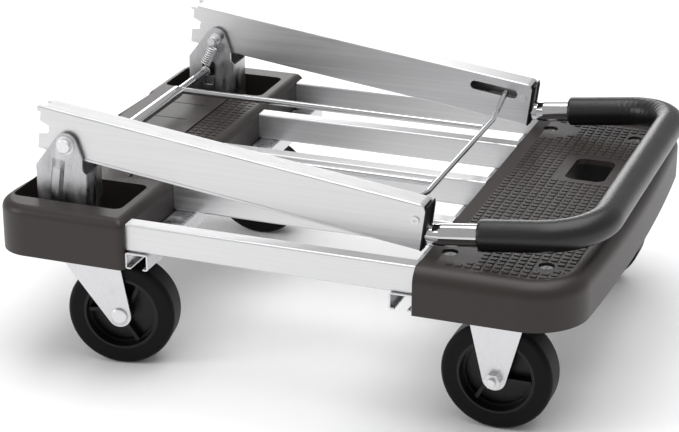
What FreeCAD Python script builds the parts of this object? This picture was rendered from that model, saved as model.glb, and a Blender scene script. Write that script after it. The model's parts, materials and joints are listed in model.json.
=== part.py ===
import FreeCAD, Part
import math
import os
import re
import Sketcher

# Folding platform cart: open aluminium deck between two plastic end pieces,
# four casters and a U handle that folds down over the deck.
# +X points to the front (fixed casters), +Y to the left, +Z up.
# The origin is on the floor under the middle of the cart.

os.makedirs("parts", exist_ok=True)
doc = FreeCAD.newDocument("platform_cart")
sheet = doc.addObject("Spreadsheet::Sheet", "Dimensions")
values = {}
Vector = FreeCAD.Vector
Rotation = FreeCAD.Rotation
Placement = FreeCAD.Placement


def dim(alias, value):
    """Put one driving dimension on the sheet and return it."""
    row = len(values) + 1
    sheet.set("A%d" % row, alias)
    sheet.set("B%d" % row, repr(value))
    sheet.setAlias("B%d" % row, alias)
    values[alias] = value
    return value


# Casters
wheel_radius = dim("wheel_radius", 64.0)
wheel_width = dim("wheel_width", 40.0)
wheel_y = dim("wheel_y", 215.0)
rear_wheel_x = dim("rear_wheel_x", -221.9)
front_wheel_x = dim("front_wheel_x", 237.4)
swivel_x = dim("swivel_x", -254.0)
plate_low = dim("plate_low", 147.5)
plate_thick = dim("plate_thick", 3.0)
crown_low = dim("crown_low", 132.5)
leg_inside = dim("leg_inside", 22.0)
leg_thick = dim("leg_thick", 3.0)
axle_radius = dim("axle_radius", 5.0)
bore_radius = dim("bore_radius", 7.55)
rim_radius = dim("rim_radius", 45.0)
swivel_turn = 10.0

# Deck
deck_low = dim("deck_low", 146.0)
rail_low = dim("rail_low", 166.5)
rail_tall = dim("rail_tall", 33.0)
rail_wide = dim("rail_wide", 20.0)
rail_wall = dim("rail_wall", 2.0)
rail_pitch = dim("rail_pitch", 131.7)
rail_rear_x = dim("rail_rear_x", -186.3)
rail_front_x = dim("rail_front_x", 155.7)
member_wide = dim("member_wide", 27.5)
member_long = dim("member_long", 554.0)
member_tall = dim("member_tall", 19.5)
member_sheet = dim("member_sheet", 1.8)
half_width = dim("half_width", 283.0)
end_wall = dim("end_wall", 4.5)
rear_x = dim("rear_x", -352.0)
rear_top = dim("rear_top", 205.5)
front_x = dim("front_x", 331.0)
rim_top = dim("rim_top", 199.5)
tread_top = dim("tread_top", 194.5)
floor_low = dim("floor_low", 150.5)
floor_top = dim("floor_top", 155.5)

# Folding handle
pivot_x = dim("pivot_x", -276.5)
pivot_z = dim("pivot_z", 269.0)
upright_y = dim("upright_y", 215.0)
upright_wide = dim("upright_wide", 28.0)
upright_long = dim("upright_long", 428.0)
upright_wall = dim("upright_wall", 2.2)
upright_low = dim("upright_low", -17.0)
upright_tall = dim("upright_tall", 54.0)
bead = dim("bead", 0.8)
fold_tilt = dim("fold_tilt", 7.2)
handle_tilt = dim("handle_tilt", 7.0)
tube_radius = dim("tube_radius", 12.7)
tube_bore = dim("tube_bore", 11.2)
neck_radius = dim("neck_radius", 11.4)
neck_bore = dim("neck_bore", 9.9)
neck_up = dim("neck_up", 0.2)
grip_radius = dim("grip_radius", 18.0)
pin_radius = dim("pin_radius", 5.0)
cheek_thick = dim("cheek_thick", 3.0)
cheek_inner_y = dim("cheek_inner_y", 195.0)
cheek_outer_y = dim("cheek_outer_y", 235.0)

# Lock bar and the frame that releases it
bar_dx = dim("bar_dx", -11.0)
bar_dz = dim("bar_dz", -42.5)
bar_radius = dim("bar_radius", 4.5)
sleeve_radius = dim("sleeve_radius", 7.6)
sleeve_half = dim("sleeve_half", 95.0)
push_rod_radius = dim("push_rod_radius", 4.0)
push_rod_y = dim("push_rod_y", 100.0)
release_radius = dim("release_radius", 3.4)
release_x = dim("release_x", 122.5)
spring_y = dim("spring_y", 184.0)
spring_wire = dim("spring_wire", 0.9)
doc.recompute()


def words(text):
    """Point the sheet's words in an expression at the sheet."""
    def point(match):
        word = match.group(0)
        return "Dimensions." + word if word in values else word
    return re.sub(r"[a-z][a-z_]+", point, str(text))


def put(obj, base, axis=None):
    """Place an object: base is three expressions, axis is where its own Z points."""
    if axis is not None:
        obj.Placement = Placement(Vector(0, 0, 0), Rotation(Vector(0, 0, 1), Vector(*axis)))
    for letter, text in zip("xyz", base):
        obj.setExpression(".Placement.Base." + letter, words(text))
    return obj


def box(size, corner):
    """A block from its size and its lowest corner."""
    obj = doc.addObject("Part::Box", "block")
    for side, text in zip(("Length", "Width", "Height"), size):
        obj.setExpression(side, words(text))
    return put(obj, corner)


def cylinder(radius, height, base, axis=(0, 0, 1)):
    obj = doc.addObject("Part::Cylinder", "cylinder")
    obj.setExpression("Radius", words(radius))
    obj.setExpression("Height", words(height))
    return put(obj, base, axis)


def cone(low_radius, high_radius, height, base, axis=(0, 0, 1)):
    obj = doc.addObject("Part::Cone", "cone")
    obj.setExpression("Radius1", words(low_radius))
    obj.setExpression("Radius2", words(high_radius))
    obj.setExpression("Height", words(height))
    return put(obj, base, axis)


def hexagon(across_flats, height, base, axis=(0, 0, 1)):
    obj = doc.addObject("Part::Prism", "hexagon")
    obj.Polygon = 6
    obj.Circumradius = across_flats / math.sqrt(3)
    obj.setExpression("Height", words(height))
    return put(obj, base, axis)


def cut(base, tool):
    obj = doc.addObject("Part::Cut", "cut")
    obj.Base = base
    obj.Tool = tool
    obj.Refine = True
    return obj


def fuse(*shapes):
    if len(shapes) == 1:
        return shapes[0]
    obj = doc.addObject("Part::MultiFuse", "fusion")
    obj.Shapes = list(shapes)
    obj.Refine = True
    return obj


def group(*shapes):
    """Separate solids kept in one object."""
    obj = doc.addObject("Part::Compound", "group")
    obj.Links = list(shapes)
    return obj


def mirrored(source):
    """The same piece on the other side of the cart."""
    obj = doc.addObject("Part::Mirroring", "mirrored")
    obj.Source = source
    obj.Normal = Vector(0, 1, 0)
    return obj


def rounded(base, radius, test):
    """Fillet the edges whose middle point and box pass the test."""
    doc.recompute()
    chosen = []
    for index, edge in enumerate(base.Shape.Edges, 1):
        middle = edge.valueAt((edge.FirstParameter + edge.LastParameter) / 2)
        if test(middle, edge.BoundBox):
            chosen.append((index, radius, radius))
    obj = doc.addObject("Part::Fillet", "rounded")
    obj.Base = base
    obj.Edges = chosen
    return obj


def corner_path(corners):
    """Lines and arcs through the corners; each corner is (x, y, radius)."""
    ends = []
    count = len(corners)
    for i, (x, y, radius) in enumerate(corners):
        here = Vector(x, y, 0)
        before = Vector(corners[i - 1][0], corners[i - 1][1], 0) - here
        after = Vector(corners[(i + 1) % count][0], corners[(i + 1) % count][1], 0) - here
        if radius == 0:
            ends.append((here, here, None))
            continue
        before.normalize()
        after.normalize()
        half = before.getAngle(after) / 2
        reach = radius / math.tan(half)
        inward = before + after
        inward.normalize()
        middle = here + inward * (radius / math.sin(half) - radius)
        ends.append((here + before * reach, here + after * reach, middle))
    path = []
    for i, (start, end, middle) in enumerate(ends):
        if middle is not None:
            path.append(Part.Arc(start, middle, end))
        target = ends[(i + 1) % count][0]
        if end.distanceToPoint(target) > 1e-6:
            path.append(Part.LineSegment(end, target))
    return path


def pad(name, path, height, placement=None):
    """A body padded from a closed sketch; height is an expression."""
    body = doc.addObject("PartDesign::Body", name)
    sketch = body.newObject("Sketcher::SketchObject", name + "_sketch")
    plane = [item for item in body.Origin.OriginFeatures if item.Role == "XY_Plane"][0]
    sketch.AttachmentSupport = (plane, [""])
    sketch.MapMode = "FlatFace"
    sketch.addGeometry(path)
    for i in range(len(path)):
        following = (i + 1) % len(path)
        meeting = [(mine, other) for mine in (1, 2) for other in (1, 2)
                   if sketch.getPoint(i, mine).distanceToPoint(sketch.getPoint(following, other)) < 1e-5]
        mine, other = meeting[0]
        sketch.addConstraint(Sketcher.Constraint("Coincident", i, mine, following, other))
    block = body.newObject("PartDesign::Pad", name + "_pad")
    block.Profile = sketch
    block.setExpression("Length", words(height))
    body.Tip = block
    if placement is not None:
        body.Placement = placement
    return body


def side_plate(name, corners, high_y, thick):
    """A plate standing in the XZ plane, from high_y down by its thickness."""
    place = Placement(Vector(0, high_y, 0), Rotation(Vector(1, 0, 0), 90))
    return pad(name, corner_path(corners), thick, place)


def tip(centre, radius, left, right):
    """The corner whose fillet is a boss of this radius about the centre."""
    def tangent(point, side):
        away = Vector(centre[0] - point[0], centre[1] - point[1], 0)
        turn = side * math.asin(radius / away.Length)
        return Vector(away.x * math.cos(turn) - away.y * math.sin(turn),
                      away.x * math.sin(turn) + away.y * math.cos(turn), 0)
    one = tangent(left, -1)
    two = tangent(right, 1)
    across = one.x * two.y - one.y * two.x
    gap = (right[0] - left[0], right[1] - left[1])
    along = (gap[0] * two.y - gap[1] * two.x) / across
    return (left[0] + one.x * along, left[1] + one.y * along, radius)


def bent_path(points, bend):
    """A wire of straight runs joined by bends of one radius."""
    points = [Vector(*point) for point in points]
    edges = []
    start = points[0]
    for i in range(1, len(points) - 1):
        before = points[i - 1] - points[i]
        after = points[i + 1] - points[i]
        before.normalize()
        after.normalize()
        half = before.getAngle(after) / 2
        reach = bend[i - 1] / math.tan(half)
        inward = before + after
        inward.normalize()
        middle = points[i] + inward * (bend[i - 1] / math.sin(half) - bend[i - 1])
        first = points[i] + before * reach
        last = points[i] + after * reach
        edges.append(Part.makeLine(start, first))
        edges.append(Part.Arc(first, middle, last).toShape())
        start = last
    edges.append(Part.makeLine(start, points[-1]))
    return Part.Wire(edges)


def swept(name, wire, radius):
    """A round bar along a wire; radius is an expression."""
    path = doc.addObject("Part::Feature", name + "_path")
    path.Shape = wire
    first = wire.Edges[0]
    start = first.valueAt(first.FirstParameter)
    section = doc.addObject("Part::Circle", name + "_section")
    section.setExpression("Radius", words(radius))
    section.Placement = Placement(start, Rotation(Vector(0, 0, 1), first.tangentAt(first.FirstParameter)))
    bar = doc.addObject("Part::Sweep", name + "_bar")
    bar.Sections = [section]
    bar.Spine = (path, ["Edge%d" % (i + 1) for i in range(len(wire.Edges))])
    bar.Solid = True
    return bar


parts = []


def part(name, obj):
    """Name one finished piece; its name is also the file's name."""
    obj.Label = name
    parts.append((name, obj))
    return obj


def both_sides(name, obj):
    """A left piece and its mirror image on the right."""
    part(name + "_left", obj)
    part(name + "_right", mirrored(obj))


def swivel_pair(name, obj):
    """The same, with the right caster swivelled a little about its kingpin."""
    part(name + "_left", obj)
    turned = group(mirrored(obj))
    turned.Placement = Placement(Vector(0, 0, 0), Rotation(Vector(0, 0, 1), swivel_turn),
                                 Vector(swivel_x, -wheel_y, 0))
    part(name + "_right", turned)


# ---------------------------------------------------------------- deck rails
def tube_block(corner, long):
    outer = rounded(box((long, "rail_wide", "rail_tall"), corner), 2.5,
                    lambda m, b: b.XLength > 50)
    inner = rounded(box((long + " + 2", "rail_wide - 2 * rail_wall", "rail_tall - 2 * rail_wall"),
                        (corner[0] + " - 1", corner[1] + " + rail_wall", corner[2] + " + rail_wall")),
                    1.0, lambda m, b: b.XLength > 50)
    return cut(outer, inner)


rivet_stations = ("rail_rear_x + member_wide / 2", "rail_front_x - member_wide / 2 - 0.5")
rivets = []
for number, step in enumerate((-2, -1, 0, 1, 2), 1):
    middle = "(%d * rail_pitch)" % step
    rail = tube_block(("rail_rear_x", middle + " - rail_wide / 2", "rail_low"),
                      "rail_front_x - rail_rear_x")
    holes = [cylinder(2.4, "rail_wall + 4", (station, middle, "rail_low - 2"))
             for station in rivet_stations]
    part("deck_rail_%d" % number, cut(rail, fuse(*holes)))
    for station in rivet_stations:
        shank = cylinder(2.4, "rail_wall + member_sheet", (station, middle, "rail_low - member_sheet"))
        head = cone(3.0, 4.7, 1.6, (station, middle, "rail_low - member_sheet - 1.6"))
        bulb = cylinder(3.7, 3, (station, middle, "rail_low + rail_wall"))
        rivets.append(fuse(shank, head, bulb))
part("rail_rivets", group(*rivets))

# ------------------------------------------------------------- cross members
for name, low_x, station in (("cross_member_rear", "rail_rear_x + 0.3", rivet_stations[0]),
                             ("cross_member_front", "rail_front_x - member_wide - 0.5", rivet_stations[1])):
    outer = rounded(box(("member_wide", "member_long", "member_tall"),
                        (low_x, "-member_long / 2", "rail_low - member_tall")), 2.6,
                    lambda m, b: b.YLength > 100)
    hollow = box(("member_wide - 2 * member_sheet", "member_long + 2", "member_tall - 2 * member_sheet"),
                 (low_x + " + member_sheet", "-member_long / 2 - 1",
                  "rail_low - member_tall + member_sheet"))
    mouth = box(("member_wide - 2 * member_sheet - 9", "member_long + 2", "member_sheet + 2"),
                (low_x + " + member_sheet + 4.5", "-member_long / 2 - 1", "rail_low - member_tall - 1"))
    holes = [cylinder(2.4, "member_sheet + 2", (station, "%d * rail_pitch" % step,
                                                "rail_low - member_sheet - 1"))
             for step in (-2, -1, 0, 1, 2)]
    part(name, cut(outer, fuse(hollow, mouth, *holes)))


# ---------------------------------------------------------------- end pieces
def end_block(name, inner_x, outer_x, bow, half, corner, low, high):
    """A slab with two rounded outer corners and a bowed outer edge."""
    turn = 1 if outer_x > inner_x else -1
    first = Vector(inner_x, -half * turn, 0)
    second = Vector(outer_x, -half * turn, 0)
    third = Vector(outer_x, half * turn, 0)
    fourth = Vector(inner_x, half * turn, 0)
    crest = Vector(outer_x + bow * turn, 0, 0)
    path = [Part.LineSegment(first, second), Part.Arc(second, crest, third),
            Part.LineSegment(third, fourth), Part.LineSegment(fourth, first)]
    block = pad(name, path, "(%s) - (%s)" % (high, low), Placement(Vector(0, 0, 0), Rotation()))
    block.setExpression(".Placement.Base.z", words(low))
    return rounded(block, corner, lambda m, b: b.ZLength > 5 and abs(m.x - outer_x) < 1)


def spigots(inner_x, outward):
    """Tongues of the end piece that go inside the rails."""
    tongues = []
    for step in (-2, -1, 0, 1, 2):
        start = "%s - 4" % inner_x if outward < 0 else "%s - 24" % inner_x
        tongues.append(box((28, "rail_wide - 2 * rail_wall - 0.8", "rail_tall - 2 * rail_wall - 5"),
                           (start, "%d * rail_pitch - rail_wide / 2 + rail_wall + 0.4" % step,
                            "rail_low + rail_wall + 4.5")))
    return tongues


def at_top(level, left_sharp_x=None):
    """Test for the top edges; the straight one at left_sharp_x stays sharp."""
    def test(m, b):
        sharp = left_sharp_x is not None and b.XLength + abs(m.x - left_sharp_x) <= 0.5
        return b.ZMin > level - 0.01 and not sharp
    return test


# Rear end piece: high middle and two wells for the pivot brackets
slab = end_block("rear_slab", rail_rear_x, rear_x, 2.0, half_width, 40.0, "deck_low", "rear_top")
slab = rounded(slab, 7.0, lambda m, b: b.ZLength > 5 and abs(m.x - rail_rear_x) < 1)
slab = rounded(slab, 11.0, at_top(rear_top))
hollow = end_block("rear_hollow", rail_rear_x - end_wall, rear_x + end_wall, 2.0, half_width - end_wall,
                   35.5,
                   "deck_low - 1", "rear_top - end_wall")
hollow = rounded(hollow, 7.0, lambda m, b: b.ZMin > rear_top - end_wall - 0.01)
wells = []
well_walls = []
for side in (1, -1):
    for low_y, thick, low, store in ((170.0, 0.0, "floor_top", wells),
                                     (170.0, 4.0, "floor_low", well_walls)):
        near_y = low_y - thick
        far_y = 250.0 + thick
        corners = [(-341.7 - thick, near_y * side, 10.0 + thick),
                   (-204.0 + thick, near_y * side, 10.0 + thick),
                   (-204.0 + thick, far_y * side, 10.0 + thick),
                   (-341.7 - thick, far_y * side, 10.0 + thick)]
        if side < 0:
            corners.reverse()
        well = pad("well", corner_path(corners), "rear_top + 5 - " + low)
        well.setExpression(".Placement.Base.z", words(low))
        store.append(well)
strip = box((42, 304, 10), ("rail_rear_x - 54", -152, "rear_top - 2"))
grooves = [box((70, 1.6, 4), (-328, y - 0.8, "rear_top - 0.8")) for y in (-111, -55, 55, 111)]
ribs = [box((150, 3, 40), (-345, y - 1.5, "rear_top - end_wall - 40")) for y in (-110, -55, 0, 55, 110)]
shell = cut(slab, cut(hollow, fuse(*well_walls)))
shell = fuse(shell, *(ribs + spigots("rail_rear_x", -1)))
bolt_points = [(sx, sy) for sx in ("- 40", "+ 40") for sy in ("- 27.5", "+ 27.5")]
holes = [cylinder(3.0, 12, ("swivel_x " + sx, "%d * (upright_y %s)" % (side, sy), "floor_low - 3"))
         for sx, sy in bolt_points for side in (1, -1)]
part("rear_end_piece", cut(shell, fuse(strip, *(wells + grooves + holes))))

# Front end piece: sunk tread, carry hole and bosses for the fixed casters
screw_xs = (175.8, 284.4)
slab = end_block("front_slab", rail_front_x, front_x, 13.0, half_width, 65.0, "deck_low", "rim_top")
slab = rounded(slab, 18.0, at_top(rim_top, rail_front_x))
sunk = end_block("front_tread", rail_front_x - 2, front_x - 20, 13.0, half_width - 20, 45.0,
                 "tread_top", "rim_top + 5")
sunk = rounded(sunk, 4.0, lambda m, b: b.ZMax < tread_top + 0.01 and m.x > rail_front_x)
hollow = end_block("front_hollow", rail_front_x + end_wall, front_x - end_wall, 13.0, half_width - end_wall,
                   60.5,
                   "deck_low - 1", "tread_top - end_wall")
hollow = rounded(hollow, 9.0, lambda m, b: b.ZMin > tread_top - end_wall - 0.01 and m.x > rail_front_x + 20)
border = side_plate("front_border", [(rail_front_x, tread_top - 1, 0),
                                     (rail_front_x + 14, tread_top - 1, 0),
                                     (rail_front_x + 14, tread_top, 0), (rail_front_x, rim_top - 1.5, 0)],
                    half_width - 19, "2 * (half_width - 19)")
hole_corners = [(234.5, 49.0), (283.0, 49.0), (283.0, 121.0), (234.5, 121.0)]
carry_hole = pad("carry_hole", corner_path([(x, y, 11.0) for x, y in hole_corners]), "80")
carry_hole.setExpression(".Placement.Base.z", words("deck_low - 10"))
skirt_corners = [(231.5, 46.0, 14.0), (286.0, 46.0, 14.0), (286.0, 124.0, 14.0), (231.5, 124.0, 14.0)]
skirt = pad("carry_skirt", corner_path(skirt_corners), "28")
skirt.setExpression(".Placement.Base.z", words("tread_top - 30"))
bosses = [cylinder(11, "tread_top - floor_low - 1", (x, y, "floor_low")) for x in screw_xs
          for y in (-211, 211)]
ribs = [box((170, 3, 32), ("rail_front_x + 2", y - 1.5, "tread_top - 33")) for y in (-130, -65, 10, 150)]
ribs.append(box((3, 520, 32), (208, -260, "tread_top - 33")))
screw_holes = [cylinder(4.0, 60, (x, y, "deck_low")) for x in screw_xs for y in (-211, 211)]
screw_holes += [cylinder(9, 20, (x, y, "tread_top - 6")) for x in screw_xs for y in (-211, 211)]
shell = cut(cut(slab, sunk), hollow)
shell = fuse(shell, border, skirt, *(bosses + ribs + spigots("rail_front_x", 1)))
part("front_end_piece", cut(shell, fuse(carry_hole, *screw_holes)))


def cross_screw(x, y, top):
    """Countersunk machine screw with a cross recess, long enough for the caster."""
    head = cone(4, 7.5, 3, (x, y, "%s - 3" % top))
    shank = cylinder(4, "%s - 3 - (plate_low - 9)" % top, (x, y, "plate_low - 9"))
    slots = fuse(box((8, 1.8, 3), (x - 4, y - 0.9, "%s - 1.8" % top)),
                 box((1.8, 8, 3), (x - 0.9, y - 4, "%s - 1.8" % top)))
    return cut(fuse(head, shank), slots)


def nut(across_flats, tall, hole, x, y, low):
    body = hexagon(across_flats, tall, (x, y, low))
    return cut(body, cylinder(hole, 30, (x, y, "%s - 10" % low)))


part("front_deck_screws", group(*[cross_screw(x, y, "tread_top - 3") for x in screw_xs
                                  for y in (-211, 211)]))
part("front_deck_nuts", group(*[nut(13, 6, 4.0, x, y, "plate_low - 6") for x in screw_xs
                                for y in (-211, 211)]))


# ------------------------------------------------------------ pivot brackets
def cheek_outline(right_top):
    px, pz = pivot_x, pivot_z
    left = (px - 39, pz - 28)
    right = (px + 20, pz - 15)
    apex = tip((px, pz), 14.0, right, left)
    foot = floor_top + 3 - pz
    return [(px - 39, pz + foot, 0), (px + 25, pz + foot, 0), (px + 25, pz - right_top, 2),
            (px + 20, pz - right_top + 5, 2), (right[0], right[1], 4), apex, (left[0], left[1], 5)]


cheeks = [side_plate("outer_cheek", cheek_outline(34), cheek_outer_y, "cheek_thick"),
          side_plate("inner_cheek", cheek_outline(34), cheek_inner_y + cheek_thick, "cheek_thick")]
web = box(("cheek_thick", "cheek_outer_y - cheek_inner_y", "pivot_z - 34 - floor_top - cheek_thick"),
          ("pivot_x + 22", "cheek_inner_y", "floor_top + cheek_thick"))
base = rounded(box((106.5, 70, "cheek_thick"), ("swivel_x - 58", 180, "floor_top")), 8.0,
               lambda m, b: b.ZLength > 2)
channel = rounded(fuse(*(cheeks + [web])), 2.9,
                  lambda m, b: b.ZLength > 50 and abs(m.x - pivot_x - 25) < 0.1 and abs(m.y - 215) > 19)
rib = doc.addObject("Part::Wedge", "cheek_rib")
for side, number in (("Xmin", 0), ("Xmax", 17), ("X2min", 4.5), ("X2max", 12.5), ("Ymin", 0), ("Ymax", 4.2),
                     ("Zmin", 0), ("Zmax", 50), ("Z2min", 4), ("Z2max", 39)):
    setattr(rib, side, number)
rib.Placement = Placement(Vector(pivot_x - 24, cheek_outer_y - 0.4, pivot_z - 66),
                          Rotation(Vector(0, 1, 0), 7))
rib = rounded(rib, 1.2, lambda m, b: b.YMin > cheek_outer_y + 3.7)
guide_slot = side_plate("guide_slot",
                        [(pivot_x + bar_dx - 6.5, pivot_z - 65, 3),
                         (pivot_x + bar_dx + 6.5, pivot_z - 65, 3),
                         (pivot_x + bar_dx + 6.5, pivot_z - 20, 3),
                         (pivot_x + bar_dx - 6.5, pivot_z - 20, 3)],
                        cheek_inner_y + cheek_thick + 1, "cheek_thick + 2")
pin_hole = cylinder("pin_radius", 60, ("pivot_x", 185, "pivot_z"), (0, 1, 0))
holes = [cylinder(3.0, 12, ("swivel_x " + sx, "upright_y " + sy, "floor_top - 3")) for sx,
         sy in bolt_points]
bracket = cut(fuse(channel, base, rib), fuse(guide_slot, pin_hole, *holes))
both_sides("pivot_bracket", bracket)

pin = fuse(cylinder("pin_radius", "cheek_outer_y - cheek_inner_y + 4",
                    ("pivot_x", "cheek_inner_y - 2", "pivot_z"),
                    (0, 1, 0)),
           cylinder(11.0, 1.4, ("pivot_x", "cheek_outer_y", "pivot_z"), (0, 1, 0)),
           cylinder(7.5, 1.6, ("pivot_x", "cheek_inner_y - 1.6", "pivot_z"), (0, 1, 0)),
           cylinder(3.5, 14, ("pivot_x", "cheek_inner_y - 15", "pivot_z"), (0, 1, 0)),
           cylinder(5, 1.5, ("pivot_x", "cheek_inner_y - 16.5", "pivot_z"), (0, 1, 0)))
head = rounded(cylinder(8.4, 6, ("pivot_x", "cheek_outer_y + 1.4", "pivot_z"), (0, 1, 0)), 1.4,
               lambda m, b: b.YMin > cheek_outer_y + 7)
pin = fuse(pin, head)
part("pivot_pins", group(pin, mirrored(pin)))


def bracket_bolt(x, y):
    """Hexagon bolt through bracket, end piece and caster plate."""
    body = fuse(hexagon(10, 4, (x, y, "floor_top + cheek_thick")),
                cylinder(3.0, 18, (x, y, "floor_top + cheek_thick - 18")))
    return rounded(body, 0.6, lambda m, b: b.ZMin > floor_top + cheek_thick + 3.99)


mount_bolts = [bracket_bolt("swivel_x " + sx, "%d * (upright_y %s)" % (side, sy))
               for sx, sy in bolt_points for side in (1, -1)]
part("rear_mount_bolts", group(*mount_bolts))
mount_nuts = [nut(10, 5, 3.0, "swivel_x " + sx, "%d * (upright_y %s)" % (side, sy), "plate_low - 5")
              for sx, sy in bolt_points for side in (1, -1)]
part("rear_mount_nuts", group(*mount_nuts))

# ------------------------------------------------------------ swivel casters
plate = rounded(box((105, 80, "plate_thick"), ("swivel_x - 52.5", "wheel_y - 40", "plate_low")), 8.0,
                lambda m, b: b.ZLength > 2)
skirt_ring = cut(cylinder(33.5, 10, ("swivel_x", "wheel_y", "plate_low - 10")),
                 cylinder(31.5, 20, ("swivel_x", "wheel_y", "plate_low - 16")))
upper_race = cylinder(30, 2.2, ("swivel_x", "wheel_y", "plate_low - 2.2"))
holes = [cylinder(3.0, 12, ("swivel_x " + sx, "wheel_y " + sy, "plate_low - 3")) for sx, sy in bolt_points]
groove = doc.addObject("Part::Torus", "upper_groove")
groove.Radius1 = 22.0
groove.Radius2 = 3.6
put(groove, ("swivel_x", "wheel_y", "plate_low - 5.7"))
holes += [cylinder(6, 30, ("swivel_x", "wheel_y", "plate_low - 16")), groove]
both_sides("swivel_plate", cut(fuse(plate, skirt_ring, upper_race), fuse(*holes)))

kingpin = fuse(cylinder(6, "plate_thick + 18", ("swivel_x", "wheel_y", "plate_low - 18")),
               cone(7.5, 10, 3, ("swivel_x", "wheel_y", "plate_low - 18.4")))
part("kingpins", group(kingpin, mirrored(kingpin)))

leg_left = (swivel_x - 36.4, crown_low + leg_thick)
leg_right = (swivel_x + 33.5, crown_low + leg_thick)
leg_tip = tip((rear_wheel_x, wheel_radius), 13.8, leg_left, leg_right)
leg_corners = [leg_tip, (leg_right[0], leg_right[1], 0), (leg_left[0], leg_left[1], 0)]
legs = [side_plate("swivel_leg", leg_corners, wheel_y + leg_inside + leg_thick, "leg_thick"),
        side_plate("swivel_leg", leg_corners, wheel_y - leg_inside, "leg_thick")]
crown = box((leg_right[0] - leg_left[0], "2 * (leg_inside + leg_thick)", "leg_thick"),
            (leg_left[0], "wheel_y - leg_inside - leg_thick", "crown_low"))
fork = rounded(fuse(crown, *legs), 2.6,
               lambda m, b: b.XLength > 60 and m.z > crown_low + 2.9 and abs(m.y - wheel_y) > 24)
lower_race = cylinder(28, "plate_low - 9.4 - crown_low - leg_thick",
                      ("swivel_x", "wheel_y", "crown_low + leg_thick"))
groove = doc.addObject("Part::Torus", "lower_groove")
groove.Radius1 = 22.0
groove.Radius2 = 3.6
put(groove, ("swivel_x", "wheel_y", "plate_low - 5.7"))
holes = [cylinder(6.05, 30, ("swivel_x", "wheel_y", "plate_low - 21")), groove,
         cylinder("axle_radius", 60, ("rear_wheel_x", "wheel_y - 30", "wheel_radius"), (0, 1, 0))]
swivel_pair("swivel_fork", cut(fuse(fork, lower_race), fuse(*holes)))

balls = []
ball_count = 15
for index in range(ball_count):
    angle = 2 * math.pi * index / ball_count
    ball = doc.addObject("Part::Sphere", "ball")
    ball.Radius = 3.5
    balls.append(put(ball, ("swivel_x + %r" % (22 * math.cos(angle)),
                            "wheel_y + %r" % (22 * math.sin(angle)), "plate_low - 5.75")))
swivel_pair("swivel_balls", group(*balls))


def domed_axle(x):
    """Riveted axle with a flat domed head at each end."""
    shank = cylinder("axle_radius", "2 * (leg_inside + leg_thick)",
                     (x, "wheel_y - leg_inside - leg_thick", "wheel_radius"), (0, 1, 0))
    heads = []
    for turn in (1, -1):
        head = cylinder(10, 3.2, (x, "wheel_y + %d * (leg_inside + leg_thick)" % turn, "wheel_radius"),
                        (0, turn, 0))
        outer_y = wheel_y + turn * (leg_inside + leg_thick + 3.2)
        heads.append(rounded(head, 2.2, lambda m, b: b.YLength < 0.1 and abs(m.y - outer_y) < 0.1))
    return fuse(shank, *heads)


swivel_pair("swivel_axle", domed_axle("rear_wheel_x"))

# ------------------------------------------------------------- fixed casters
leg_left = (front_wheel_x - 35, plate_low + 3)
leg_right = (front_wheel_x + 36.5, plate_low + 3)
leg_tip = tip((front_wheel_x, wheel_radius), 13.5, leg_left, leg_right)
leg_corners = [leg_tip, (leg_right[0], leg_right[1], 0), (leg_left[0], leg_left[1], 0)]
legs = [side_plate("fixed_leg", leg_corners, wheel_y + leg_inside + leg_thick, "leg_thick"),
        side_plate("fixed_leg", leg_corners, wheel_y - leg_inside, "leg_thick")]
plate = box((136, "2 * (leg_inside + leg_thick)", "plate_thick"),
            (162, "wheel_y - leg_inside - leg_thick", "plate_low"))
plate = rounded(plate, 8.0, lambda m, b: b.ZLength > 2)
holes = [cylinder(4.0, 12, (x, 211, "plate_low - 3")) for x in screw_xs]
holes.append(cylinder("axle_radius", 60, ("front_wheel_x", "wheel_y - 30", "wheel_radius"), (0, 1, 0)))
both_sides("fixed_fork", cut(fuse(plate, *legs), fuse(*holes)))

bolt = fuse(cylinder("axle_radius", "2 * (leg_inside + leg_thick) + 12.5",
                     ("front_wheel_x", "wheel_y - leg_inside - leg_thick", "wheel_radius"), (0, 1, 0)),
            hexagon(16, 6, ("front_wheel_x", "wheel_y - leg_inside - leg_thick", "wheel_radius"),
                    (0, -1, 0)))
bolt = rounded(bolt, 0.9, lambda m, b: b.YMin > wheel_y + 35 and b.YLength < 0.1)
part("fixed_axle_bolts", group(bolt, mirrored(bolt)))
axle_nut = cut(hexagon(16, 8, ("front_wheel_x", "wheel_y + leg_inside + leg_thick", "wheel_radius"),
                       (0, 1, 0)),
               cylinder("axle_radius", 20, ("front_wheel_x", "wheel_y + 20", "wheel_radius"), (0, 1, 0)))
part("fixed_axle_nuts", group(axle_nut, mirrored(axle_nut)))

for name, x, make_pair in (("swivel", "rear_wheel_x", swivel_pair), ("fixed", "front_wheel_x", both_sides)):
    sleeve = cut(cylinder(7.5, "2 * leg_inside", (x, "wheel_y - leg_inside", "wheel_radius"), (0, 1, 0)),
                 cylinder("axle_radius", 60, (x, "wheel_y - 30", "wheel_radius"), (0, 1, 0)))
    make_pair(name + "_axle_sleeve", sleeve)


# -------------------------------------------------------------------- wheels
def tyre(x):
    body = cylinder("wheel_radius", "wheel_width", (x, "wheel_y - wheel_width / 2", "wheel_radius"),
                    (0, 1, 0))
    body = rounded(body, 7.0, lambda m, b: b.YLength < 0.1)
    seat = cylinder("rim_radius", "wheel_width + 2", (x, "wheel_y - wheel_width / 2 - 1", "wheel_radius"),
                    (0, 1, 0))
    key = cut(cylinder("rim_radius + 3", 14, (x, "wheel_y - 7", "wheel_radius"), (0, 1, 0)),
              cylinder("rim_radius - 1", 16, (x, "wheel_y - 8", "wheel_radius"), (0, 1, 0)))
    return cut(body, fuse(seat, key))


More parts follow.
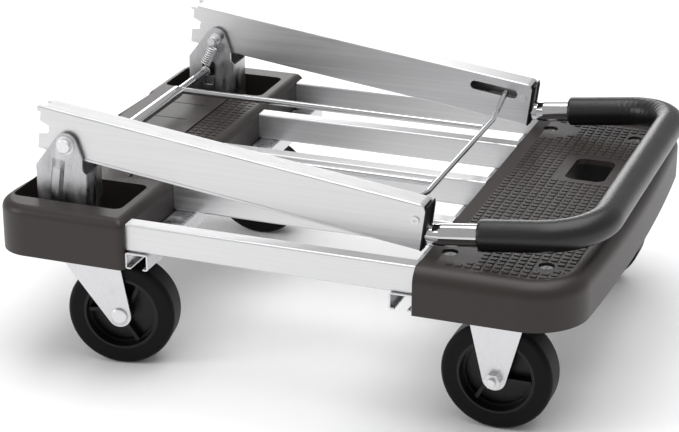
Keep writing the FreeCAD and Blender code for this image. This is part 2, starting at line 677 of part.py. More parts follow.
def hub(x, first_spoke):
    rim = fuse(cylinder("rim_radius", "wheel_width - 1",
                        (x, "wheel_y - wheel_width / 2 + 0.5", "wheel_radius"),
                        (0, 1, 0)),
               cylinder("rim_radius + 3", 14, (x, "wheel_y - 7", "wheel_radius"), (0, 1, 0)))
    dishes = []
    for turn in (1, -1):
        dishes.append(cylinder("rim_radius - 3.5", 13, (x, "wheel_y + %d * 8.5" % turn, "wheel_radius"),
                               (0, turn, 0)))
        dishes.append(cylinder("rim_radius - 7", 12, (x, "wheel_y + %d * 3" % turn, "wheel_radius"),
                               (0, turn, 0)))
    boss = cylinder(13, "wheel_width + 2", (x, "wheel_y - wheel_width / 2 - 1", "wheel_radius"), (0, 1, 0))
    spokes = []
    for third in range(3):
        angle = math.radians(first_spoke + 120 * third)
        for turn in (1, -1):
            spoke = box((28, 4.4, 14), (0, 0, 0))
            offset = Vector(11 * math.cos(angle) + 2.2 * math.sin(angle), 0,
                            11 * math.sin(angle) - 2.2 * math.cos(angle))
            spoke.Placement = Placement(offset, Rotation(Vector(0, -1, 0), math.degrees(angle))
                                        * Rotation(Vector(1, 0, 0), -90 if turn > 0 else 90))
            spokes.append((spoke, turn, offset))
    placed = []
    for spoke, turn, offset in spokes:
        spoke.setExpression(".Placement.Base.x", words("%s + %r" % (x, offset.x)))
        spoke.setExpression(".Placement.Base.y", words("wheel_y"))
        spoke.setExpression(".Placement.Base.z", words("wheel_radius + %r" % offset.z))
        placed.append(spoke)
    bore = cylinder("bore_radius", 60, (x, "wheel_y - 30", "wheel_radius"), (0, 1, 0))
    return cut(fuse(cut(rim, fuse(*dishes)), boss, *placed), bore)


swivel_pair("swivel_tyre", tyre("rear_wheel_x"))
swivel_pair("swivel_hub", hub("rear_wheel_x", 65))
both_sides("fixed_tyre", tyre("front_wheel_x"))
both_sides("fixed_hub", hub("front_wheel_x", 0))

# ------------------------------------------------------------------ uprights
# Built in the upright's own frame: X along it from the pivot, Z across its
# height, Y across its width, then tilted into the folded position.
folded = Placement(Vector(pivot_x, 0, pivot_z), Rotation(Vector(0, 1, 0), fold_tilt))
outer_y = upright_y + upright_wide / 2
foot_x = -37.0
bead_low = 30.5
outer = rounded(box(("upright_long + 41", "upright_wide", "upright_tall"),
                    (-41, "upright_y - upright_wide / 2", "upright_low")),
                2.0, lambda m, b: b.XLength > 100)
top_bead = rounded(box(("upright_long + 41", "upright_wide + 2 * bead",
                        "upright_low + upright_tall - %r" % bead_low),
                       (-41, "upright_y - upright_wide / 2 - bead", bead_low)),
                   2.2, lambda m, b: b.XLength > 100 and m.z > bead_low + 1)
low_bead = box(("upright_long + 29", "upright_wide / 2 + bead", 2.4),
               (-29, "upright_y", "upright_low + 1.6"))
inner = box(("upright_long + 60", "upright_wide - 2 * upright_wall", "upright_tall - 2 * upright_wall"),
            (-50, "upright_y - upright_wide / 2 + upright_wall", "upright_low + upright_wall"))
foot_trim = box((20, 40, bead_low + 23), (foot_x - 20, 195, -23))
top_trim = box((18, "upright_wide - 4", 12),
               (-50, "upright_y - upright_wide / 2 - 1", "upright_low + upright_tall - 3"))
foot_gap = box((50, 40, 4), (-75, 195, -18.5))
foot_round = cut(box((9, 40, 9), (-38, 195, -18)), cylinder(9, 40, (-29, 195, -9), (0, 1, 0)))
notch = side_plate("lock_notch", [(-45, 1.6, 0), (-25.2, 6.2, 2.5), (-25.2, 15.4, 2.5), (-45, 21.4, 0)],
                   240, 50)
cap_round = cut(box((9, 40, 9), (420, 195, "upright_low + upright_tall - 8")),
                cylinder(8, 40, (420, 195, "upright_low + upright_tall - 8"), (0, 1, 0)))
rod_slot = side_plate("rod_slot", [(348.3, 14.3, 5.5), (410.4, 14.3, 5.5), (410.4, 25.7, 5.5),
                                   (348.3, 25.7, 5.5)],
                      upright_y - upright_wide / 2 + 4, 8)
bush_hole = cylinder(8, 60, (0, 190, 0), (0, 1, 0))
screw_hole = cylinder(2.2, 60, (418.5, 190, 17.5), (0, 1, 0))
upright = cut(fuse(outer, top_bead, low_bead),
              fuse(inner, foot_trim, top_trim, foot_gap, foot_round, notch, cap_round, rod_slot, bush_hole,
                   screw_hole))
upright.Placement = folded
both_sides("upright", upright)

bush = cut(fuse(cylinder(8, "upright_wide + 5.2", (0, "upright_y - upright_wide / 2 - 2.6", 0), (0, 1, 0)),
                cylinder(10, 2.6, (0, "upright_y - upright_wide / 2 - 2.6", 0), (0, 1, 0)),
                cylinder(10, 2.6, (0, "upright_y + upright_wide / 2", 0), (0, 1, 0))),
           cylinder("pin_radius + 0.05", 60, (0, 190, 0), (0, 1, 0)))
bush.Placement = folded
part("pivot_bushes", group(bush, mirrored(bush)))

plug = box((16, "upright_wide - 2 * upright_wall - 0.2", "upright_tall - 2 * upright_wall - 0.2"),
           (412, "upright_y - upright_wide / 2 + upright_wall + 0.1", "upright_low + upright_wall + 0.1"))
flange = rounded(box((2.6, "upright_wide", "upright_tall - 1"),
                     (428, "upright_y - upright_wide / 2", "upright_low")),
                 1.2, lambda m, b: m.x > 430)
face_ribs = [box((1.8, 1.6, "upright_tall - 5"), (430, "upright_y - 0.8 + %r" % y, "upright_low + 2"))
             for y in (-10.5, -6.5, 6.5, 10.5)]
neck_hole = cylinder("neck_radius", 40, (405, "upright_y", "neck_up"), (1, 0, 0))
screw_hole = cylinder(2.2, 60, (418.5, 190, 17.5), (0, 1, 0))
cap_round = cut(box((9, 40, 12), (420, 195, "upright_low + upright_tall - 8")),
                cylinder(7.8, 40, (420, 195, "upright_low + upright_tall - 8"), (0, 1, 0)))
cap = cut(fuse(plug, flange, *face_ribs), fuse(neck_hole, screw_hole, cap_round))
cap.Placement = folded
both_sides("upright_end_cap", cap)

screws = []
for turn, face in ((1, "upright_y + upright_wide / 2"), (-1, "upright_y - upright_wide / 2")):
    screw = fuse(cylinder(4.4, 2.2, (418.5, face, 17.5), (0, turn, 0)),
                 cylinder(2.2, 10, (418.5, face, 17.5), (0, -turn, 0)))
    recess_y = "%s + %r" % (face, 1.2 if turn > 0 else -3.6)
    recess = [box((5, 2.4, 1.1), (416, recess_y, 16.95)), box((1.1, 2.4, 5), (417.95, recess_y, 15))]
    screws.append(cut(screw, fuse(*recess)))
screw_set = group(*screws)
screw_set.Placement = folded
part("upright_screws", group(screw_set, mirrored(screw_set)))

# ---------------------------------------------------------- handle and grip
along = Vector(math.cos(math.radians(fold_tilt)), 0, -math.sin(math.radians(fold_tilt)))
across = Vector(math.sin(math.radians(fold_tilt)), 0, math.cos(math.radians(fold_tilt)))
rise = Vector(math.cos(math.radians(handle_tilt)), 0, math.sin(math.radians(handle_tilt)))
pivot = Vector(pivot_x, 0, pivot_z)
neck_start = pivot + along * 372 + across * neck_up
kink = pivot + along * 438 + across * neck_up
cross_x = 336.0
corner = kink + rise * ((cross_x - kink.x) / rise.x)


def handle_points(start):
    """The handle's centre line from the left leg to the right leg."""
    left = [Vector(p.x, upright_y, p.z) for p in start + [corner]]
    right = [Vector(p.x, -upright_y, p.z) for p in reversed(start + [corner])]
    return [tuple(p) for p in left + right]


shoulder = 8.0
full = kink + rise * shoulder
tube = swept("handle", bent_path(handle_points([full]), [62, 62]), "tube_radius")
tube_hole = swept("handle_hole", bent_path(handle_points([full + rise * 2]), [62, 62]), "tube_bore")
joints = []
neck_holes = []
for side in (1, -1):
    place = (kink.x, side * upright_y, kink.z)
    joints.append(cylinder("neck_radius", 66, (neck_start.x, side * upright_y, neck_start.z), tuple(along)))
    joints.append(cone("neck_radius", "tube_radius", shoulder, place, tuple(rise)))
    for store, radius in ((joints, "neck_radius"), (neck_holes, "neck_bore")):
        ball = doc.addObject("Part::Sphere", "neck_bend")
        ball.setExpression("Radius", words(radius))
        store.append(put(ball, place))
    start = neck_start - along * 2
    neck_holes.append(cylinder("neck_bore", 68, (start.x, side * upright_y, start.z), tuple(along)))
    neck_holes.append(cylinder("neck_bore", 14, place, tuple(rise)))
part("handle_tube", cut(fuse(tube, *joints), fuse(tube_hole, *neck_holes)))
grip_path_points = handle_points([kink + rise * ((198.5 - kink.x) / rise.x)])
grip_path_points[-1] = (209.5, -upright_y, kink.z + (209.5 - kink.x) * rise.z / rise.x)
grip = rounded(swept("grip", bent_path(grip_path_points, [62, 62]), "grip_radius"), 3.0,
               lambda m, b: b.XMax < 220 and b.YLength > 30)
grip_hole = swept("grip_hole", bent_path(handle_points([full + rise * 4]), [62, 62]), "tube_radius")
part("foam_grip", cut(grip, grip_hole))

# ------------------------------------------------------- lock bar and frame
bar_x = pivot_x + bar_dx
bar_z = pivot_z + bar_dz
bar_end = 230.5
guide = fuse(side_plate("guide_block", [(bar_x - 6.2, bar_z - 7.5, 2), (bar_x + 6.2, bar_z - 7.5, 2),
                                        (bar_x + 6.2, bar_z + 8, 2), (bar_x - 6.2, bar_z + 8, 2)],
                        cheek_inner_y + cheek_thick + 0.3, "cheek_thick + 0.6"),
             side_plate("guide_flange", [(bar_x - 8.2, bar_z - 8.5, 3), (bar_x + 8.2, bar_z - 8.5, 3),
                                         (bar_x + 8.2, bar_z + 9, 3), (bar_x - 8.2, bar_z + 9, 3)],
                        cheek_inner_y - 0.3, 2),
             side_plate("guide_flange", [(bar_x - 8.2, bar_z - 8.5, 3), (bar_x + 8.2, bar_z - 8.5, 3),
                                         (bar_x + 8.2, bar_z + 9, 3), (bar_x - 8.2, bar_z + 9, 3)],
                        cheek_inner_y + cheek_thick + 1.5, 1.2))
guide = cut(guide, cylinder("bar_radius + 0.06", 20, (bar_x, 185, bar_z), (0, 1, 0)))
part("bar_guides", group(guide, mirrored(guide)))

bar = rounded(cylinder("bar_radius", 2 * bar_end, (bar_x, -bar_end, bar_z), (0, 1, 0)), 1.0,
              lambda m, b: b.YLength < 0.1)
sleeve = rounded(cylinder("sleeve_radius", "2 * sleeve_half", (bar_x, "-sleeve_half", bar_z), (0, 1, 0)),
                 1.2,
                 lambda m, b: b.YLength < 0.1)
part("lock_bar", fuse(bar, sleeve))
rod = cylinder("push_rod_radius", "release_x - release_radius - %r" % (bar_x + bar_radius - 0.4),
               (bar_x + bar_radius - 0.4, "push_rod_y", bar_z), (1, 0, 0))
rod = cut(rod, cylinder("bar_radius", 40, (bar_x, "push_rod_y - 20", bar_z), (0, 1, 0)))
both_sides("push_rod", rod)

rod_points = [(release_x - 3.5, 198.0, bar_z + 13.5), (release_x, 129.0, bar_z + 0.8),
              (release_x, -129.0, bar_z + 0.8), (release_x - 3.5, -198.0, bar_z + 13.5)]
part("release_rod", swept("release", bent_path(rod_points, [14, 14]), "release_radius"))

# ------------------------------------------------------------------- springs
top = Vector(pivot_x, spring_y, pivot_z - 9)
low = Vector(bar_x, spring_y, bar_z + 10)
coil_radius = 5.8
coil = doc.addObject("Part::Helix", "spring_coil")
coil.Radius = coil_radius
coil.Pitch = (top - low).Length / 8
coil.Height = (top - low).Length
coil.Placement = Placement(low, Rotation(Vector(0, 0, 1), top - low))
section = doc.addObject("Part::Circle", "spring_section")
section.setExpression("Radius", words("spring_wire"))
doc.recompute()
first = coil.Shape.Edges[0]
section.Placement = Placement(first.valueAt(first.FirstParameter),
                              Rotation(Vector(0, 0, 1), first.tangentAt(first.FirstParameter)))
turns = doc.addObject("Part::Sweep", "spring_turns")
turns.Sections = [section]
turns.Spine = (coil, ["Edge%d" % (i + 1) for i in range(len(coil.Shape.Edges))])
turns.Solid = True
turns.Frenet = True
hooks = []
for name, hook, bite in (("top", Vector(pivot_x, spring_y, pivot_z), 3.5),
                         ("low", Vector(bar_x, spring_y, bar_z), bar_radius)):
    ring = doc.addObject("Part::Torus", "spring_hook_" + name)
    ring.Radius1 = bite + 0.9
    ring.setExpression("Radius2", words("spring_wire"))
    ring.Placement = Placement(hook, Rotation(Vector(0, 0, 1), Vector(0, 1, 0)))
    hooks.append(ring)
ends = []
outward = coil.Placement.Rotation.multVec(Vector(coil_radius, 0, 0))
for centre, hook, bite in ((top, Vector(pivot_x, spring_y, pivot_z), 3.5),
                           (low, Vector(bar_x, spring_y, bar_z), bar_radius)):
    away = centre - hook
    away.normalize()
    start = hook + away * (bite + 0.9)
    link = bent_path([tuple(start), tuple(centre), tuple(centre + outward)], [0.95])
    ends.append(swept("spring_end", link, "spring_wire"))
both_sides("lock_spring", fuse(turns, *(hooks + ends)))

# -------------------------------------------------------------------- export
doc.recompute()
for obj in doc.Objects:
    if "Invalid" in obj.State or "Error" in obj.State:
        raise RuntimeError("%s is in state %s" % (obj.Label, obj.State))
for name, obj in parts:
    if obj.Shape.isNull() or not obj.Shape.isValid():
        raise RuntimeError("%s has no valid shape" % name)
    if not obj.Shape.Solids:
        raise RuntimeError("%s has no solid" % name)
    obj.Shape.exportStep("parts/%s.step" % name)
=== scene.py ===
import bpy
import json
import math
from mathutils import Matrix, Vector, noise


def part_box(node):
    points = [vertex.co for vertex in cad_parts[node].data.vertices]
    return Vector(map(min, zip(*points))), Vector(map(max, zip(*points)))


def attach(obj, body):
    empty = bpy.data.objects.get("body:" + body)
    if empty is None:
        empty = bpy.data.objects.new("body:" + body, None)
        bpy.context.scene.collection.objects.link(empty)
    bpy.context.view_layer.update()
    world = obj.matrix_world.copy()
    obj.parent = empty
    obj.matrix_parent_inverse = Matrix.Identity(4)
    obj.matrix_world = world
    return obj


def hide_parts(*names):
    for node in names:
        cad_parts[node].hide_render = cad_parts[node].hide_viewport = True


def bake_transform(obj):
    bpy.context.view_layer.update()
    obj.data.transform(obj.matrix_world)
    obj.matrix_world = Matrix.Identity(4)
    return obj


# Looks for the folding platform cart. Metres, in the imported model's frame:
# +X to the fixed casters, +Y to the left, +Z up, floor at zero.

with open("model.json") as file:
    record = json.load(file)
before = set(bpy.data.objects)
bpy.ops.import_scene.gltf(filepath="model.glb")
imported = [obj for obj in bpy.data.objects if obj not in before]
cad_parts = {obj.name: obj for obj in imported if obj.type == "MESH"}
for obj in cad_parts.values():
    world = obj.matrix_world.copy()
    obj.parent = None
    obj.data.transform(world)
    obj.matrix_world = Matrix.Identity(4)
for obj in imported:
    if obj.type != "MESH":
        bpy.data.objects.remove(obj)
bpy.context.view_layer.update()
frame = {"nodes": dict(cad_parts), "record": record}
MM = 0.001
openings = {opening["name"]: opening["box_m"] for opening in frame["record"]["physics"]["openings"]}
carry_hole = openings["carry_hole"]


# ---------------------------------------------------------------- materials
def make_material(name, colour, metallic, roughness):
    """A Principled material and the coordinates that its textures share."""
    material = bpy.data.materials.new(name)
    material.use_nodes = True
    nodes = material.node_tree.nodes
    shader = nodes["Principled BSDF"]
    shader.inputs["Base Color"].default_value = (*colour, 1.0)
    shader.inputs["Metallic"].default_value = metallic
    shader.inputs["Roughness"].default_value = roughness
    nodes.new("ShaderNodeTexCoord").name = "place"
    return material


def set_specular(material, level):
    material.node_tree.nodes["Principled BSDF"].inputs["Specular IOR Level"].default_value = level


def texture(material, scale, detail, stretch=(1, 1, 1)):
    """Noise in the object's own space; stretch makes it streaky."""
    tree = material.node_tree
    mapping = tree.nodes.new("ShaderNodeMapping")
    mapping.inputs["Scale"].default_value = stretch
    tree.links.new(tree.nodes["place"].outputs["Object"], mapping.inputs["Vector"])
    pattern = tree.nodes.new("ShaderNodeTexNoise")
    pattern.inputs["Scale"].default_value = scale
    pattern.inputs["Detail"].default_value = detail
    tree.links.new(mapping.outputs["Vector"], pattern.inputs["Vector"])
    return pattern.outputs["Fac"]


def vary_roughness(material, value, low, high):
    tree = material.node_tree
    spread = tree.nodes.new("ShaderNodeMapRange")
    spread.inputs["From Min"].default_value = 0.3
    spread.inputs["From Max"].default_value = 0.7
    spread.inputs["To Min"].default_value = low
    spread.inputs["To Max"].default_value = high
    tree.links.new(value, spread.inputs["Value"])
    tree.links.new(spread.outputs["Result"], tree.nodes["Principled BSDF"].inputs["Roughness"])


def vary_colour(material, value, first, second):
    tree = material.node_tree
    blend = tree.nodes.new("ShaderNodeMix")
    blend.data_type = "RGBA"
    blend.inputs["A"].default_value = (*first, 1.0)
    blend.inputs["B"].default_value = (*second, 1.0)
    tree.links.new(value, blend.inputs["Factor"])
    tree.links.new(blend.outputs["Result"], tree.nodes["Principled BSDF"].inputs["Base Color"])


def add_bump(material, value, depth):
    tree = material.node_tree
    bump = tree.nodes.new("ShaderNodeBump")
    bump.inputs["Distance"].default_value = depth
    tree.links.new(value, bump.inputs["Height"])
    tree.links.new(bump.outputs["Normal"], tree.nodes["Principled BSDF"].inputs["Normal"])


def extruded_aluminium():
    """Satin extrusion with faint die lines along its length."""
    material = make_material("extruded_aluminium", (0.66, 0.66, 0.665), 0.9, 0.34)
    lines = texture(material, 260, 3, (0.006, 1, 1))
    vary_roughness(material, lines, 0.30, 0.42)
    vary_colour(material, lines, (0.56, 0.56, 0.57), (0.76, 0.76, 0.765))
    add_bump(material, lines, 0.00004)
    return material


def galvanised_steel(name, dark, bright):
    """Zinc-dipped sheet: cloudy, with smears that run down the part."""
    material = make_material(name, (0.50, 0.51, 0.53), 1.0, 0.35)
    clouds = texture(material, 95, 4, (1, 1, 0.35))
    vary_roughness(material, clouds, 0.20, 0.46)
    vary_colour(material, clouds, (dark, dark, dark * 1.04), (bright, bright, bright * 1.02))
    add_bump(material, clouds, 0.00025)
    return material


def zinc_hardware():
    material = make_material("zinc_hardware", (0.72, 0.72, 0.73), 0.8, 0.36)
    grain = texture(material, 600, 2)
    vary_roughness(material, grain, 0.28, 0.46)
    vary_colour(material, grain, (0.66, 0.66, 0.67), (0.82, 0.82, 0.83))
    return material


def chrome():
    material = make_material("chrome", (0.62, 0.62, 0.63), 1.0, 0.06)
    grain = texture(material, 400, 2)
    vary_roughness(material, grain, 0.04, 0.09)
    vary_colour(material, grain, (0.58, 0.58, 0.59), (0.66, 0.66, 0.67))
    return material


HOLE_SHADE = (0.003, 0.003, 0.003, 1.0)


def paint_hole_shade(material, low, high):
    """Paints shade on what lies between two corners, darker and duller, for the walls of a hole."""
    tree = material.node_tree
    shader = tree.nodes["Principled BSDF"]
    split = tree.nodes.new("ShaderNodeSeparateXYZ")
    tree.links.new(tree.nodes["place"].outputs["Object"], split.inputs["Vector"])
    inside = None
    for axis, start, end in zip("XYZ", low, high):
        near = tree.nodes.new("ShaderNodeMath")
        near.operation = "COMPARE"
        near.inputs[1].default_value = (start + end) / 2
        near.inputs[2].default_value = (end - start) / 2
        tree.links.new(split.outputs[axis], near.inputs[0])
        if inside is None:
            inside = near.outputs["Value"]
            continue
        both = tree.nodes.new("ShaderNodeMath")
        both.operation = "MULTIPLY"
        tree.links.new(inside, both.inputs[0])
        tree.links.new(near.outputs["Value"], both.inputs[1])
        inside = both.outputs["Value"]
    shade = tree.nodes.new("ShaderNodeMix")
    shade.data_type = "RGBA"
    shade.inputs["B"].default_value = HOLE_SHADE
    tree.links.new(shader.inputs["Base Color"].links[0].from_socket, shade.inputs["A"])
    tree.links.new(inside, shade.inputs["Factor"])
    tree.links.new(shade.outputs["Result"], shader.inputs["Base Color"])
    dull = tree.nodes.new("ShaderNodeMath")
    dull.operation = "MAXIMUM"
    tree.links.new(shader.inputs["Roughness"].links[0].from_socket, dull.inputs[0])
    tree.links.new(inside, dull.inputs[1])
    tree.links.new(dull.outputs["Value"], shader.inputs["Roughness"])


def grained_plastic():
    """Moulded brown-black plastic with a fine leather grain, and painted shade on the walls of the
    carry hole.
    """
    material = make_material("grained_plastic", (0.022, 0.017, 0.0155), 0.0, 0.4)
    set_specular(material, 0.40)
    grain = texture(material, 1500, 3)
    vary_roughness(material, grain, 0.34, 0.50)
    vary_colour(material, grain, (0.019, 0.0145, 0.013), (0.026, 0.020, 0.018))
    add_bump(material, grain, 0.00008)
    # Painted shade: the carry hole's walls, from the hole's bottom up to below the tread, are
    # painted near black and made dull.
    low, high = carry_hole
    wall = 3.5 * MM
    below_tread = 19 * MM
    paint_hole_shade(material, (low[0] - wall - MM, low[1] - 2 * wall, low[2]),
                (high[0] + 2 * wall, high[1] + 2 * wall, high[2] - below_tread))
    return material


def satin_plastic(name, grey, low, high):
    material = make_material(name, (grey, grey, grey), 0.0, low)
    set_specular(material, 0.3)
    grain = texture(material, 500, 2)
    vary_roughness(material, grain, low, high)
    vary_colour(material, grain, (grey * 0.8,) * 3, (grey * 1.2,) * 3)
    return material


def tyre_rubber():
    material = make_material("tyre_rubber", (0.004, 0.004, 0.0043), 0.0, 0.5)
    set_specular(material, 0.12)
    grain = texture(material, 900, 3)
    vary_roughness(material, grain, 0.40, 0.58)
    vary_colour(material, grain, (0.003, 0.003, 0.0033), (0.006, 0.006, 0.0063))
    add_bump(material, grain, 0.00004)
    return material


def grip_foam():
    """Closed-cell foam: dull black with open pores that catch the light."""
    material = make_material("grip_foam", (0.005, 0.005, 0.0054), 0.0, 0.32)
    pores = texture(material, 1600, 3)
    vary_roughness(material, pores, 0.24, 0.38)
    vary_colour(material, pores, (0.003, 0.003, 0.0033), (0.008, 0.008, 0.0084))
    add_bump(material, pores, 0.00014)
    return material


MATERIALS = {
    "aluminium_extrusion": extruded_aluminium(),
    "galvanised_sheet": galvanised_steel("galvanised_steel", 0.50, 0.78),
    "zinc_hardware": zinc_hardware(),
    "chrome_tube": chrome(),
    "end_plastic": grained_plastic(),
    "hub_plastic": satin_plastic("hub_plastic", 0.004, 0.28, 0.40),
    "black_nylon": satin_plastic("black_nylon", 0.006, 0.35, 0.5),
    "tyre_rubber": tyre_rubber(),
    "grip_foam": grip_foam(),
}


def set_material(thing, slot):
    thing.data.materials.clear()
    thing.data.materials.append(MATERIALS[slot])


for subpart in frame["record"]["subparts"]:
    set_material(frame["nodes"][subpart["node"]], subpart["material_slot"])

# The pivot brackets are duller and more smeared than the casters' forks.
smeared_steel = galvanised_steel("smeared_steel", 0.18, 0.80)
for bracket in ("pivot_bracket_left", "pivot_bracket_right"):
    frame["nodes"][bracket].data.materials[0] = smeared_steel


def add_piece(name, vertices, faces, slot, body):
    """A mesh piece in its material, riding on a body."""
    mesh = bpy.data.meshes.new(name)
    mesh.from_pydata(vertices, [], faces)
    mesh.validate()
    mesh.update()
    piece = bpy.data.objects.new(name, mesh)
    bpy.context.collection.objects.link(piece)
    set_material(piece, slot)
    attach(piece, body)
    return piece


# -------------------------------------------------------------- tread studs
STUD_PITCH = (10.4 * MM, 9.7 * MM)
STUD_SIZE = (7.8 * MM, 6.4 * MM)
STUD_TALL = 1.0 * MM
STUD_ROUND = 1.5 * MM
STUD_BEVEL = 0.4 * MM
STUD_SUNK = 0.4 * MM
CORNER_POINTS = 3
OUTLINE_POINTS = 4 * CORNER_POINTS


def stud_outline(shrink):
    """The corners of a rounded rectangle, going round."""
    points = []
    radius = STUD_ROUND - shrink
    for quarter in range(4):
        centre_x = (STUD_SIZE[0] / 2 - STUD_ROUND) * (1, -1, -1, 1)[quarter]
        centre_y = (STUD_SIZE[1] / 2 - STUD_ROUND) * (1, 1, -1, -1)[quarter]
        for step in range(CORNER_POINTS):
            angle = math.radians(90 * quarter + 90 / (CORNER_POINTS - 1) * step)
            points.append((centre_x + radius * math.cos(angle), centre_y + radius * math.sin(angle)))
    return points


def studs(name, centres, level):
    """One mesh of raised rounded pads, each sunk a little into the surface."""
    rings = [(0.0, -STUD_SUNK), (0.0, STUD_TALL - STUD_BEVEL), (STUD_BEVEL, STUD_TALL)]
    vertices = []
    faces = []
    for x, y in centres:
        base = len(vertices)
        for shrink, height in rings:
            vertices += [(x + dx, y + dy, level + height) for dx, dy in stud_outline(shrink)]
        for ring in range(len(rings) - 1):
            low = base + OUTLINE_POINTS * ring
            high = low + OUTLINE_POINTS
            for i in range(OUTLINE_POINTS):
                j = (i + 1) % OUTLINE_POINTS
                faces.append((low + i, low + j, high + j, high + i))
        top = base + OUTLINE_POINTS * (len(rings) - 1)
        faces.append(tuple(top + i for i in range(OUTLINE_POINTS)))
        faces.append(tuple(base + i for i in reversed(range(OUTLINE_POINTS))))
    return add_piece(name, vertices, faces, "end_plastic", "deck")


TREAD_FIRST_X = 174.2 * MM
TREAD_COLUMNS = 15
TREAD_HALF_WIDE = 250 * MM
TREAD_DEEP = 5 * MM
TREAD_MARGIN = 26 * MM
TREAD_CORNER = 40 * MM
TREAD_BOW = 13 * MM
HOLE_MARGIN = 14 * MM
SCREW_RADIUS = 7.5 * MM
INNER_SCREW_CLEAR = 32 * MM
OUTER_SCREW_CLEAR = 15 * MM
INNER_SCREWS_END = 200 * MM


def inside_tread(x, y, high):
    """Whether a pad fits inside the tread's bowed and rounded edge."""
    half = high[1] - TREAD_MARGIN
    bow = TREAD_BOW * (1 - (y / high[1]) ** 2)
    end = high[0] - TREAD_BOW + bow - TREAD_MARGIN
    if abs(y) > half or x > end:
        return False
    over_x = x - (end - TREAD_CORNER)
    over_y = abs(y) - (half - TREAD_CORNER)
    return over_x < 0 or over_y < 0 or math.hypot(over_x, over_y) < TREAD_CORNER


def near_screw(x, y, screws):
    """Whether a pad would crowd a deck screw; the inner two have a wider smooth boss."""
    for screw_x, screw_y in screws:
        clear = INNER_SCREW_CLEAR if screw_x < INNER_SCREWS_END else OUTER_SCREW_CLEAR
        if math.hypot(x - screw_x, y - screw_y) < clear:
            return True
    return False


def near_hole(x, y):
    """Whether a pad would crowd the carry hole's edge."""
    low, high = carry_hole
    return (low[0] - HOLE_MARGIN < x < high[0] + HOLE_MARGIN
            and low[1] - HOLE_MARGIN < y < high[1] + HOLE_MARGIN)


def front_stud_centres():
    """Pads all over the sunk tread, clear of its edge, the screws and the carry hole."""
    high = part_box("front_end_piece")[1]
    screw_low, screw_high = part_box("front_deck_screws")
    screws = [(x, y) for x in (screw_low[0] + SCREW_RADIUS, screw_high[0] - SCREW_RADIUS)
              for y in (screw_low[1] + SCREW_RADIUS, screw_high[1] - SCREW_RADIUS)]
    rows = int(TREAD_HALF_WIDE / STUD_PITCH[1])
    centres = []
    for column in range(TREAD_COLUMNS):
        x = TREAD_FIRST_X + column * STUD_PITCH[0]
        for row in range(-rows, rows + 1):
            y = row * STUD_PITCH[1]
            if inside_tread(x, y, high) and not near_screw(x, y, screws) and not near_hole(x, y):
                centres.append((x, y))
    return centres


STRIP_FIRST_X = -234.5 * MM
STRIP_COLUMNS = 4
STRIP_HALF_ROWS = 15
STRIP_DEEP = 2 * MM


def rear_stud_centres():
    """The strip of pads beside the rear end piece's sunk panel."""
    return [(STRIP_FIRST_X + column * STUD_PITCH[0], row * STUD_PITCH[1])
            for column in range(STRIP_COLUMNS)
            for row in range(-STRIP_HALF_ROWS, STRIP_HALF_ROWS + 1)]


studs("front_tread_studs", front_stud_centres(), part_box("front_end_piece")[1][2] - TREAD_DEEP)
studs("rear_strip_studs", rear_stud_centres(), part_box("rear_end_piece")[1][2] - STRIP_DEEP)


def lock_spring(side):
    """The coil between pivot pin and lock bar: a copy of the part's mesh, shown in place of the
    part.
    """
    node = "lock_spring_" + side
    coil = bpy.data.objects.new("coil_" + side, frame["nodes"][node].data.copy())
    bpy.context.collection.objects.link(coil)
    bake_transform(coil)
    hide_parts(node)


for side in ("left", "right"):
    lock_spring(side)

# --------------------------------------------------------------- foam grip
BEND_RADIUS = 62 * MM
GRIP_RADIUS = 18 * MM
CREASE_DEEP = 0.35 * MM
CREASE_COUNT = 44
CREASE_START = -10 * MM
SAG_DEEP = 0.3 * MM
SAG_SCALE = 38
WANDER_SCALE = 90
FOAM_VOXEL = 1.5 * MM


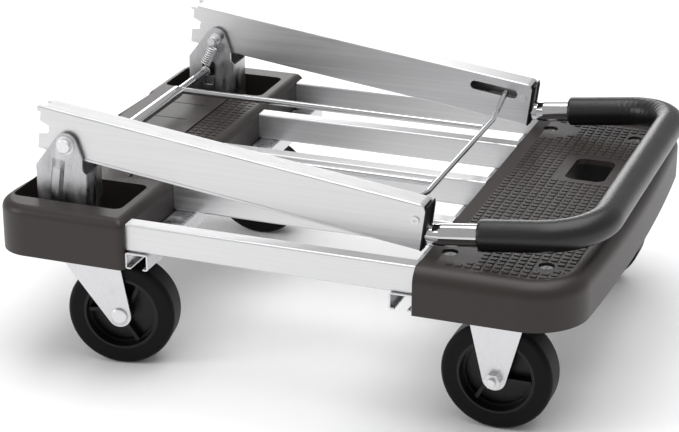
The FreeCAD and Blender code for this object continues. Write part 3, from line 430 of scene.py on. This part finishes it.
def foam_sleeve():
    """The foam tube, softly uneven, with fine creases inside its two bends."""
    solid = frame["nodes"]["foam_grip"]
    sleeve = bpy.data.objects.new("grip_sleeve", solid.data.copy())
    bpy.context.collection.objects.link(sleeve)
    remesh = sleeve.modifiers.new("even", "REMESH")
    remesh.mode = "VOXEL"
    remesh.voxel_size = FOAM_VOXEL
    remesh.use_smooth_shade = True
    graph = bpy.context.evaluated_depsgraph_get()
    sleeve.data = bpy.data.meshes.new_from_object(sleeve.evaluated_get(graph))
    sleeve.modifiers.clear()
    low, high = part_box("foam_grip")
    centre_x = high.x - GRIP_RADIUS - BEND_RADIUS
    centre_y = high.y - GRIP_RADIUS - BEND_RADIUS
    sleeve.data.update()
    normals = [vertex.normal.copy() for vertex in sleeve.data.vertices]
    for vertex, normal in zip(sleeve.data.vertices, normals):
        place = vertex.co
        depth = SAG_DEEP * (0.5 + 0.5 * noise.noise(place * SAG_SCALE))
        from_x = place.x - centre_x
        from_y = abs(place.y) - centre_y
        if from_x > CREASE_START and from_y > CREASE_START:
            inner = (BEND_RADIUS - math.hypot(from_x, from_y)) / GRIP_RADIUS
            wander = noise.noise(place * WANDER_SCALE)
            wave = math.sin(CREASE_COUNT * math.atan2(from_y, from_x) + 2 * wander)
            depth += CREASE_DEEP * min(max(inner + 0.35, 0), 1) * max(wave, 0) ** 3
        vertex.co = place - normal * depth
    set_material(sleeve, "grip_foam")
    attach(sleeve, "handle")
    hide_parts("foam_grip")


foam_sleeve()

# ------------------------------------------------------- floor, light, camera
bpy.ops.mesh.primitive_plane_add(size=60, location=(0, 0, 0))
floor = bpy.context.object
floor.name = "floor"
floor_material = make_material("floor_white", (0.93, 0.93, 0.93), 0.0, 0.8)
floor.data.materials.append(floor_material)

world = bpy.data.worlds.new("studio")
bpy.context.scene.world = world
world.use_nodes = True
sky = world.node_tree.nodes["Background"]
sky.inputs["Color"].default_value = (1.0, 1.0, 1.0, 1.0)
sky.inputs["Strength"].default_value = 0.52
LIGHT_TARGET = Vector((0, 0, 0.2))


def soft_light(name, place, size, power):
    """An area light that faces the cart."""
    data = bpy.data.lights.new(name, "AREA")
    data.shape = "RECTANGLE"
    data.size = size[0]
    data.size_y = size[1]
    data.energy = power
    lamp = bpy.data.objects.new(name, data)
    bpy.context.collection.objects.link(lamp)
    lamp.location = place
    lamp.rotation_euler = (LIGHT_TARGET - Vector(place)).to_track_quat("-Z", "Y").to_euler()


soft_light("top_softbox", (0.3, 0.1, 3.2), (3.6, 3.0), 98)
soft_light("back_softbox", (-1.35, 2.95, 0.85), (1.7, 1.5), 22)
soft_light("left_softbox", (-2.2, -1.6, 1.2), (0.9, 1.3), 20)

CAMERA_PLACE = (0.79524, -2.23478, 1.10127)
CAMERA_TURN = 20.294
CAMERA_DROP = 22.247
camera_data = bpy.data.cameras.new("camera")
camera_data.sensor_width = 36
camera_data.lens = 111.7
camera = bpy.data.objects.new("camera", camera_data)
bpy.context.collection.objects.link(camera)
camera.location = CAMERA_PLACE
camera.rotation_euler = (math.radians(90 - CAMERA_DROP), 0, math.radians(CAMERA_TURN))
bpy.context.scene.camera = camera
bpy.context.scene.view_settings.view_transform = "Standard"
